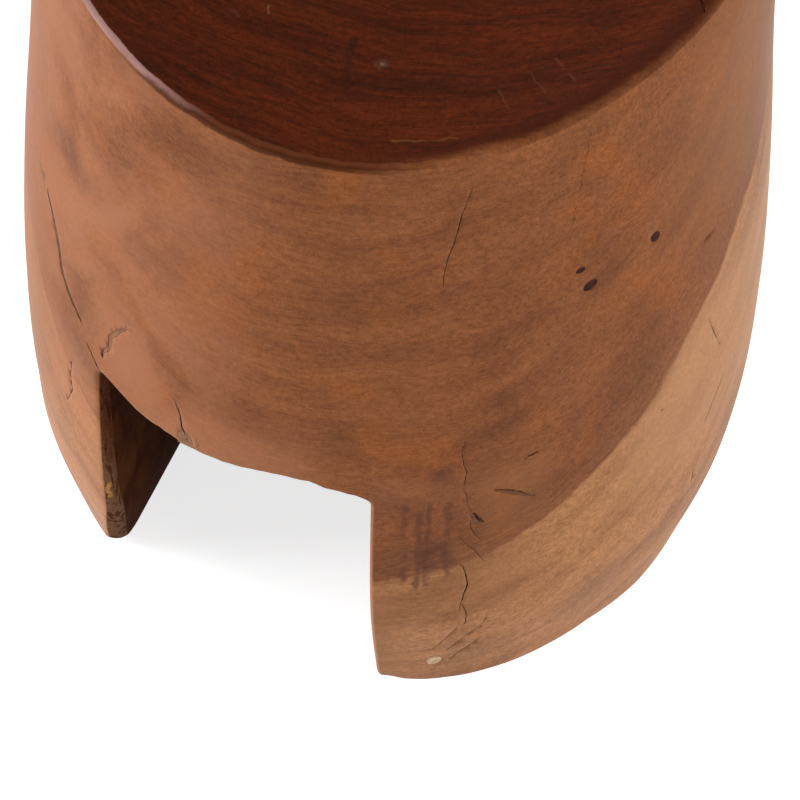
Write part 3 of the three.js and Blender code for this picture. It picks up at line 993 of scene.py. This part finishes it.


# Thin marks drawn on the wood: the half width in millimetres, the strength, the colour, then the points, by
# azimuth and height on the wall, and by x and y on the seat
# Marks in the crack colour are fine cracks drawn as painted shade.
WALL_MARKS = (
    (0.9, 0.55, "greyed", (-70.5, 318), (-68.5, 298.4), (-57.4, 291.8)),
    (1.3, 0.75, "greyed", (-57.4, 291.8), (-54.8, 283)),
    (0.55, 0.5, "greyed", (-54.8, 283), (-51.1, 269.2), (-45.2, 248.2), (-41, 226.9), (-39.2, 217.5)),
    (0.5, 0.7, "greyed", (-35.7, 209), (-34.7, 213), (-35.6, 219), (-34.3, 222), (-34.9, 229), (-33.3, 231),
     (-33.75, 238), (-32.2, 241), (-31.9, 248), (-30.2, 249), (-29.6, 254)),
    (1.2, 0.6, "greyed", (-21.3, 224), (-20.04, 214), (-19.68, 205), (-18.6, 197), (-18.0, 191)),
    (0.7, 0.6, "greyed", (-17.4, 206), (-16.9, 199), (-17.8, 192)),
    (0.5, 0.7, "check", (27.1, 188.6), (29.45, 185.6), (31.43, 182.4)),
    (0.95, 0.85, "check", (31.3, 182.3), (32.6, 178.9), (33.8, 175.5)),
    (1.0, 0.9, "seat_dark", (31.9, 207.2), (33.7, 209.4)),
    (1.3, 0.8, "check", (24.6, 172.5), (25.9, 164.2)),
    (0.6, 0.5, "check", (40.72, 418), (40.0, 406), (39.6, 396), (39.3, 387), (38.4, 368), (37.5, 348)),
    (0.7, 0.35, "check", (60.5, 425), (54.5, 412), (49, 402)),
    (0.5, 0.5, "worn", (-10.7, 296.7), (-6, 286.3)),
    (0.5, 0.5, "worn", (-2.7, 255.9), (1.8, 246)),
    (0.8, 0.9, "seat_dark", (45.2, 218.6), (45.8, 217.8)),
    (0.8, 0.9, "seat_dark", (55.8, 194.7), (56.4, 193.9)),
    (0.7, 0.5, "heart_edge", (-46.5, 207), (-45.4, 196), (-46.2, 185), (-47.6, 176)),
)
# Marks in the crack colour are fine cracks drawn as painted shade.
SEAT_MARKS = (
    (4.0, 0.5, "greyed", (16.9, -110.9), (17.6, -110.6)),
    (1.5, 0.3, "ochre", (17.8, -110.4), (18.3, -110.6)),
    (1.2, 0.16, "ochre", (34, -161), (48, -159), (64, -155)),
    (1.4, 0.5, "check", (44, -164), (58, -162), (72, -156)),
    (1.0, 0.22, "worn", (-43.4, -88.7), (-41.9, -93.5)),
    (2.0, 0.06, "worn", (-58.9, -99.2), (-54.9, -101)),
    (0.9, 0.07, "worn", (75.7, -119.7), (83.2, -133.3)),
    (0.9, 0.07, "worn", (88.6, -108.2), (98.4, -122.2)),
    (0.9, 0.07, "worn", (99.1, -98.6), (111, -114.5)),
    (3.0, 0.4, "check", (1, -98), (1.5, -112), (4, -130)),
)

# A point on the line between the two woods, and how far the growth layers are turned about the grain, along x
GRAIN_PLACE = (0.1338, -0.1366, 0.1911)
GRAIN_TILT = math.radians(46.4)

# Layers of colour: the colour, its strength, then the steps that limit it, each by a field of the wood
CHANNEL_LAYERS = (
    ("seat_dark", 1, ("mottle", 0.3, 0.7)),
    ("pared", 0.5, ("streaks", 0.5, 0.75)),
    # Painted shade: darker towards the floor of the channel.
    ("seat_dark", 0.6, ("z", 0.11, 0.02)),
)
HEART_LAYERS = (
    ("heart_light", 1, ("tone", 0.30, 0.66)),
    ("heart_glow", 0.6, ("glow", 0.5, 0.72)),
    ("cloud", 0.5, ("mottle", 0.52, 0.74)),
    ("heart_edge", 0.28, ("edge", 0.05, 0.004), ("bands", 0.3, 0.55)),
)
SAP_LAYERS = (
    ("sap_light", 1, ("tone", 0.36, 0.60)),
    ("sap_dark", 0.35, ("mottle", 0.58, 0.75)),
)
# Fine hairs, pores, and the growth rings next to the line between the two woods
FINE_LAYERS = (
    ("cloud", 0.22, ("hair", 0.60, 0.80)),
    ("cloud", 0.45, ("grit", 0.60, 0.72), ("streaks", 0.42, 0.65)),
    ("sap_dark", 0.45, ("edge", 0.018, 0.001), ("edge", -0.003, 0.0), ("rings", 0.46, 0.58)),
)
FRONT = ("y", -0.05, -0.10)
# Stains on the right foot next to the channel: a painted shade by the channel's right edge near the floor, a
# wide blot, a dark block, four drips and a smudge
STAIN_LAYERS = (
    # Painted shade: darker towards the channel's right edge and towards the floor.
    ("sap_dark", 0.55, FRONT, ("x", 0.062, 0.03), ("x", 0.0, 0.03), ("z", 0.125, 0.10)),
    ("cloud", 0.12, FRONT, ("across", 0.034, 0.078, 0.004), ("up", 0.128, 0.188, 0.002)),
    ("stain", 0.75, FRONT, ("across", 0.0595, 0.0775, 0.0022), ("up", 0.131, 0.157, 0.0026),
     ("dapple", 0.30, 0.62)),
    *(("stain", 0.6, FRONT, ("across", x - 0.0016, x + 0.0016, 0.0012), ("up", end, 0.184, 0.004),
       ("runs", 0.3, 0.6))
      for x, end in ((0.0515, 0.118), (0.0585, 0.112), (0.0635, 0.114), (0.0735, 0.122))),
    ("stain", 0.6, FRONT, ("across", 0.0635, 0.073, 0.003), ("up", 0.199, 0.209, 0.003)),
)
# Painted light and wear on the outer wall: pale on the left, partly wear and partly painted light from the
# left lamp, rubbed over the arch, dull under the rim on the right, bleached on the far right, and two darker
# patches, over and on the right foot
WEAR_LAYERS = (
    # Partly painted light: the whole left side of the wall made paler, as the sheen of the left lamp.
    ("worn", 0.75, ("x", 0.0, -0.10), ("x", -0.205, -0.15), ("mottle", 0.25, 0.75)),
    ("heart_light", 0.7, ("x", -0.12, -0.175), ("z", 0.09, 0.20)),
    ("worn", 0.45, ("z", 0.245, 0.195), ("y", -0.09, -0.13), ("x", 0.02, -0.01), ("x", -0.12, -0.07)),
    ("sap_dark", 0.55, ("x", 0.145, 0.19), ("z", 0.27, 0.34)),
    ("sap_pale", 0.5, ("x", 0.135, 0.175), ("z", 0.13, 0.27, 0.03), ("layer", 0.002, -0.004)),
    ("sap_dark", 0.45, ("x", 0.088, 0.118, 0.014), ("z", 0.155, 0.205, 0.02), FRONT),
    ("sap_dark", 0.45, ("x", 0.078, 0.115, 0.012), ("z", 0.09, 0.14, 0.012), FRONT),
)
# The pared edge: its paler foot, its dark strokes and an ochre fleck
PARED_LAYERS = (
    ("pared_foot", 1, ("z", 0.16, 0.10)),
    ("seat_dark", 0.75, ("strokes", 0.48, 0.62)),
    ("ochre", 1, ("z", 0.096, 0.112, 0.0015), ("flecks", 0.44, 0.50), ("depth", 0.001, 0.0035, 0.0006)),
)


def carved_wood(colours, log, channel):
    """Red brown heartwood over pale sapwood, with worn edges and a dark polished seat, and painted light and
    shade: a pale left side, highlights on the lip and on the right edge of the channel, shade under the lip
    and beside the channel.
    """
    f = Finish("carved_wood", 0.45, 0.035, colours)
    f.warped = f.drift(0.09, 0.022)
    layer = f.add("SeparateXYZ", f.in_grain((1, 1, 1)))[2]
    bands, streaks = f.fibres(0.13, 0.06, 0.014, 6, 0.3), f.fibres(0.07, 0.012, 0.0032, 4, 0.2)
    hair, mottle = f.fibres(0.045, 0.0022, 0.0011, 2), f.noise(0.055, 6, 0.5)
    fine, grit = f.noise(0.011, 4), f.noise(0.0016, 2)
    f.fields |= {
        "layer": layer, "bands": bands, "streaks": streaks, "hair": hair,
        "mottle": mottle, "fine": fine, "grit": grit,
        "edge": f.shaken(layer, fine, 0.005),
        "tone": f.total((bands, 0.55), (mottle, 0.45)),
        "glow": f.noise(0.05, 3, 0.8),
        "rings": f.fibres(0.06, 0.03, 0.0013, 2),
        "across": f.shaken(f.fields["x"], fine, 0.008),
        "up": f.shaken(f.fields["z"], fine, 0.008),
        "dapple": f.noise(0.008),
        "runs": f.noise(0.009, 2),
    }
    heart = f.layers(colours.heart_dark, HEART_LAYERS)
    sap = f.layers(colours.sap_dark, SAP_LAYERS)
    wood = f.layers(f.blend(f.step("edge", -0.0012, 0.0016), sap, heart), FINE_LAYERS)
    wood = f.layers(f.grain(wood, 0.72, 1.28), STAIN_LAYERS + WEAR_LAYERS)
    wood = f.marks(wood, WALL_MARKS, on_wall(log))
    wood, pared = edge_tones(f, wood, channel, log)
    wood, polish = seat_tones(f, wood)
    rough = f.total((f.rise(mottle, 0.2, 0.9), 0.10), (fine, 0.06), (polish, -0.06), (pared, 0.5), base=0.36)
    height = f.total((hair, 0.06 * MM), (streaks, 0.12 * MM), (fine, 0.22 * MM), (grit, 0.06 * MM))
    return f.finish(wood, rough, height)


def edge_tones(f, wood, channel, log):
    """The pared edge of the left foot, and the worn edge of the right one, made pale as wear and as a painted
    highlight along its arris.
    """
    upright = f.add("Mapping", f.place, None, None, (1, 1, 0.16))[0]
    f.fields |= {"strokes": f.noise(0.003, 3, 0.5, upright), "flecks": f.noise(0.006, 2),
                 "depth": f.attribute("shell_depth")}
    over = channel.height + 10 * MM
    cut = f.both(f.step("depth", 0.0003, 0.0009), f.step("z", over + 4 * MM, over))
    pared = f.both(cut, f.step("x", 0, -0.01), f.step("y", 0, -0.01))
    wood = f.blend(pared, wood, f.grain(f.layers(f.colours.pared, PARED_LAYERS), 0.7, 1.25))
    right = channel.right + log.middle_x
    # The right edge is made pale partly as wear and partly as a painted highlight along the arris.
    return f.blend(f.both(cut, f.step("x", right - MM, right), 0.8), wood, f.colours.worn), pared


def seat_tones(f, wood):
    """Dark patina of the seat: it ends at a crisp pale lip on the left, whose paleness is partly wear and
    partly a painted highlight, with a band of painted shade under the lip, and it fades out on the right.
    """
    fields, colours, rim = f.fields, f.colours, f.attribute("rim_distance")
    ragged = f.shaken(rim, fields["fine"], 0.0035)
    weave = f.total((fields["bands"], 0.5), (fields["streaks"], 0.5))
    fields |= {"rim": rim, "ragged": ragged, "weave": weave}
    crisp = f.rise(ragged, 0.0030, 0.0040)
    fading = f.rise(f.shaken(rim, fields["mottle"], 0.012), -0.003, 0.009)
    patina = f.total((f.math("SUBTRACT", fading, crisp), f.step("x", 0.02, 0.075)), base=crisp)
    # The pale lip colour on the left is partly wear and partly a painted highlight, fading to the lip's own
    # reddish colour at the front.
    lip = f.both(f.step("ragged", 0.0, 0.0045, 0.0006), f.step("x", 0.075, 0.02), 0.95)
    wood = f.blend(lip, wood, f.blend(f.step("x", -0.095, -0.045), colours.lip, colours.lip_front))
    # Painted shade: a dark band just under the lip, where the rim rolls down into the wall.
    under = f.both(f.step("ragged", -0.0036, 0.0010, 0.0010), f.step("x", -0.092, 0.035, 0.022), 0.8)
    wood = f.blend(under, wood, colours.seat_dark)
    seat = f.blend(f.step("weave", 0.30, 0.66), colours.seat_dark, colours.seat_light)
    seat = f.marks(f.grain(seat, 0.58, 1.42), SEAT_MARKS, on_level(0), (1, 1, 0))
    ring = f.both(f.step("rim", 0.003, 0.016, 0.005), f.step("x", 0.0, 0.06), 0.6)
    seat = f.blend(ring, seat, colours.seat_dark)
    return f.blend(patina, wood, seat), patina


CAMERA_PLACE = Vector((0.2466, -1.1250, 1.3965))
CAMERA_GOAL = Vector((0.0051, 0.0013, 0.0233))
CAMERA_ROLL = math.radians(0.94)
LAMP_GOAL = Vector((0, 0, 0.22))


class STOOL_OT_set_stage(bpy.types.Operator):
    """Lays the pale floor and sets the lamps, the room light and the camera"""

    bl_idname = "stool.set_stage"
    bl_label = "Set stage"

    def execute(self, context):
        studio = context.scene.stool_studio
        select_none()
        bpy.ops.mesh.primitive_plane_add(size=16, location=(0, 0, 0))
        floor = new_piece("studio_floor")
        floor.data.materials.append(floor_finish(studio))
        lamp("key_lamp", (-2.3, -0.7, 1.5), 1.6, studio.key_power)
        lamp("fill_lamp", (2.4, -0.9, 1.6), 1.8, studio.fill_power)
        room_light(studio)
        bpy.ops.object.camera_add(location=CAMERA_PLACE)
        camera = bpy.context.object
        camera.name = "photo_camera"
        aim = (CAMERA_GOAL - CAMERA_PLACE).to_track_quat("-Z", "Y").to_matrix()
        camera.rotation_euler = (aim @ Matrix.Rotation(CAMERA_ROLL, 3, "Z")).to_euler()
        camera.data.lens = studio.lens
        camera.data.sensor_width = 36
        context.scene.camera = camera
        context.scene.view_settings.view_transform = "Standard"
        return {"FINISHED"}


def lamp(name, place, size, power):
    bpy.ops.object.light_add(type="AREA", location=place)
    light = bpy.context.object
    light.name = name
    light.data.size = size
    light.data.energy = power
    light.rotation_euler = (LAMP_GOAL - Vector(place)).to_track_quat("-Z", "Y").to_euler()


def floor_finish(studio):
    """White floor that keeps the stool's soft shadow, and glows a little for the camera and for gloss."""
    f = Finish("floor_white", roughness=0.9, gloss=0)
    f.shader.inputs["Base Color"].default_value = (*studio.floor, 1)
    f.shader.inputs["Emission Color"].default_value = (1, 1, 1, 1)
    f.links.new(f.math("MULTIPLY", seen_directly(f), studio.floor_glow), f.shader.inputs["Emission Strength"])
    return f.material


def seen_directly(graph):
    """1 for rays from the camera and for reflections, 0 for light that falls on the stool."""
    path = graph.add("LightPath")
    seen = graph.math("MAXIMUM", path["Is Camera Ray"], path["Is Glossy Ray"])
    return graph.math("MAXIMUM", seen, path["Is Transmission Ray"])


def room_light(studio):
    """Even light from all round, which the camera sees as white."""
    world = bpy.data.worlds.new("studio_room")
    bpy.context.scene.world = world
    world.use_nodes = True
    graph = Graph(world.node_tree)
    back = graph.nodes["Background"]
    back.inputs["Color"].default_value = (1, 1, 1, 1)
    strength = graph.add("MapRange", seen_directly(graph), 0.0, 1.0, studio.room, 1.0)
    graph.links.new(strength[0], back.inputs["Strength"])


class STOOL_PT_panel(bpy.types.Panel):
    """Lists the stool's building steps, sizes and colours"""

    bl_idname = "STOOL_PT_panel"
    bl_label = "Carved stool"
    bl_space_type = "VIEW_3D"
    bl_region_type = "UI"
    bl_category = "Stool"

    def draw(self, context):
        for operator in OPERATORS:
            self.layout.operator(operator.bl_idname)
        for name, group in GROUPS.items():
            box = self.layout.box()
            for value in group.__annotations__:
                box.prop(getattr(context.scene, name), value)


OPERATORS = [STOOL_OT_carve_body, STOOL_OT_finish_trim, STOOL_OT_set_stage]
GROUPS = {
    "stool_log": StoolLogSizes,
    "stool_seat": StoolSeatSizes,
    "stool_channel": StoolChannelSizes,
    "stool_colours": StoolWoodColours,
    "stool_studio": StoolStudio,
}


def register():
    for name, group in GROUPS.items():
        bpy.utils.register_class(group)
        setattr(bpy.types.Scene, name, PointerProperty(type=group))
    for item in (*OPERATORS, STOOL_PT_panel):
        bpy.utils.register_class(item)


def unregister():
    for item in (STOOL_PT_panel, *reversed(OPERATORS)):
        bpy.utils.unregister_class(item)
    for name, group in reversed(GROUPS.items()):
        delattr(bpy.types.Scene, name)
        bpy.utils.unregister_class(group)


def main():
    register()
    bpy.ops.stool.carve_body()
    bpy.ops.stool.finish_trim()
    bpy.ops.stool.set_stage()


if __name__ == "__main__":
    main()
